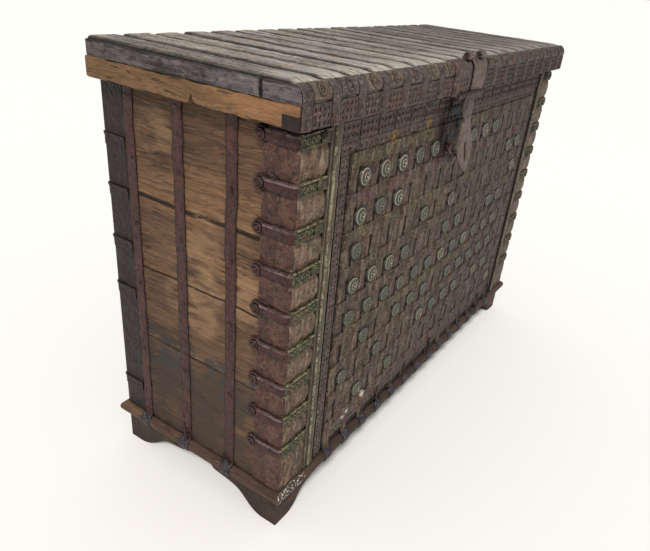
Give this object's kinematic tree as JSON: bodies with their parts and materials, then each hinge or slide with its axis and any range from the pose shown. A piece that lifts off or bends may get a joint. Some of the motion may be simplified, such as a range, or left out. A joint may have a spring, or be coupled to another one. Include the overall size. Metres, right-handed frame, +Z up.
{
  "type": "damchiya chest",
  "caption": "Iron-strapped teak dowry chest on bracket feet, with a rosette lattice front, a hinged strapped lid and a hanging slotted hasp.",
  "frame": {"origin": "on the floor, under the middle of the chest's overall box with the lid closed and the hasp hanging", "axes": "+X along the front to the viewer's right, +Y from the front to the back, +Z up"},
  "size_m": [1.418, 0.549, 0.9798],
  "materials": {
    "teak": "old oiled teak, worn",
    "teak_feet": "old teak, scuffed",
    "lid_batten": "light worn teak",
    "lid_deck": "dark weathered teak",
    "moulding": "old teak with red brown stain",
    "iron_dark": "forged, brown with age",
    "iron_red": "forged, red brown with age",
    "iron_sheet": "sheet iron, grey, rubbed",
    "iron_plate": "sheet iron, brown",
    "iron_green": "sheet iron with rubbed green paint",
    "brass": "dull old brass, grey green",
    "iron_hasp": "forged, rubbed bright at the edges"
  },
  "bodies": {
    "carcass": {"corner_posts": "teak", "front_wall_boards": "teak", "back_wall_boards": "teak", "end_planks_left": "teak", "end_planks_right": "teak", "floor_boards": "teak", "foot_front_left": "teak_feet", "foot_front_right": "teak_feet", "foot_back_left": "teak_feet", "foot_back_right": "teak_feet", "base_moulding_front": "moulding", "base_moulding_back": "moulding", "base_moulding_left": "moulding", "base_moulding_right": "moulding", "lattice_sheet": "iron_plate", "lattice_uprights": "iron_dark", "lattice_crossbars": "iron_dark", "stud_rosettes": "brass", "header_plates": "iron_plate", "header_ledge": "iron_plate", "punched_strips": "iron_plate", "post_strips": "iron_green", "corner_plates_front": "iron_plate", "corner_plates_back": "iron_plate", "corner_bands_left": "iron_red", "corner_bands_right": "iron_red", "band_rivets": "iron_red", "band_rosettes": "brass", "corner_bands_back": "iron_red", "end_straps_left": "iron_red", "end_straps_right": "iron_red", "end_strap_rivets": "iron_red", "hinge_wall_leaves": "iron_dark", "hinge_pins": "iron_dark", "lock_staple": "iron_hasp"},
    "lid": {"lid_boards": "lid_deck", "lid_front_rail": "lid_batten", "lid_back_rail": "lid_batten", "lid_end_rail_left": "lid_batten", "lid_end_rail_right": "lid_batten", "lid_corner_blocks": "iron_dark", "lid_strips": "iron_sheet", "lid_face_plates": "iron_plate", "lid_ridges": "iron_plate", "hinge_lid_leaves": "iron_dark", "hasp_straps": "iron_hasp", "hasp_pin": "iron_hasp"},
    "hasp": {"hasp_leaf": "iron_hasp"}
  },
  "joints": [
    {"name": "lid_hinge", "type": "hinge", "parent": "carcass", "child": "lid", "pos_m": [0, 0.265, 0.891], "axis": [-1, 0, 0], "range_deg": [0, 100]},
    {"name": "hasp_hinge", "type": "hinge", "parent": "lid", "child": "hasp", "pos_m": [-0.07822, -0.2455, 0.888], "axis": [-1, 0, 0], "range_deg": [-9, 112]}
  ]
}
